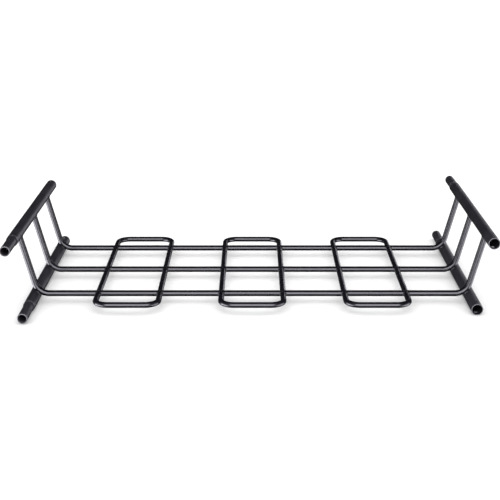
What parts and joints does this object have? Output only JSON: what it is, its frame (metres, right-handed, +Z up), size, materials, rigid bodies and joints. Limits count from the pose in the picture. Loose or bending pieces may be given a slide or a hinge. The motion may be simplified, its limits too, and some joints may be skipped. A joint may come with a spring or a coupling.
{
  "type": "roof cargo basket centre section",
  "caption": "Welded steel centre section of a sectional roof cargo basket, with bent floor bars, flat loops and plug-together side rails.",
  "frame": {"origin": "on the ground plane under the middle of the section, level with the undersides of the lower rails", "axes": "+X to the right across the vehicle, +Y to the rear, +Z up"},
  "size_m": [0.99, 0.588, 0.164],
  "materials": {
    "rail_coat": "black powder coat, semi-gloss",
    "rod_coat": "black powder coat, gloss",
    "weld_bead": "powder coat over rippled weld bead"
  },
  "bodies": {
    "root": {"upper_rail_left": "rail_coat", "upper_rail_right": "rail_coat", "lower_rail_left": "rail_coat", "lower_rail_right": "rail_coat", "floor_bar_front": "rod_coat", "floor_bar_middle": "rod_coat", "floor_bar_rear": "rod_coat", "left_loop_front_bow": "rod_coat", "left_loop_rear_bow": "rod_coat", "left_loop_rung_front_outer": "rod_coat", "left_loop_rung_front_inner": "rod_coat", "left_loop_rung_rear_outer": "rod_coat", "left_loop_rung_rear_inner": "rod_coat", "centre_loop_front_bow": "rod_coat", "centre_loop_rear_bow": "rod_coat", "centre_loop_rung_front_left": "rod_coat", "centre_loop_rung_front_right": "rod_coat", "centre_loop_rung_rear_left": "rod_coat", "centre_loop_rung_rear_right": "rod_coat", "right_loop_front_bow": "rod_coat", "right_loop_rear_bow": "rod_coat", "right_loop_rung_front_inner": "rod_coat", "right_loop_rung_front_outer": "rod_coat", "right_loop_rung_rear_inner": "rod_coat", "right_loop_rung_rear_outer": "rod_coat", "upper_rail_welds_left": "weld_bead", "upper_rail_welds_right": "weld_bead", "lower_rail_welds_left": "weld_bead", "lower_rail_welds_right": "weld_bead", "left_loop_welds": "weld_bead", "centre_loop_welds": "weld_bead", "right_loop_welds": "weld_bead"}
  },
  "joints": []
}
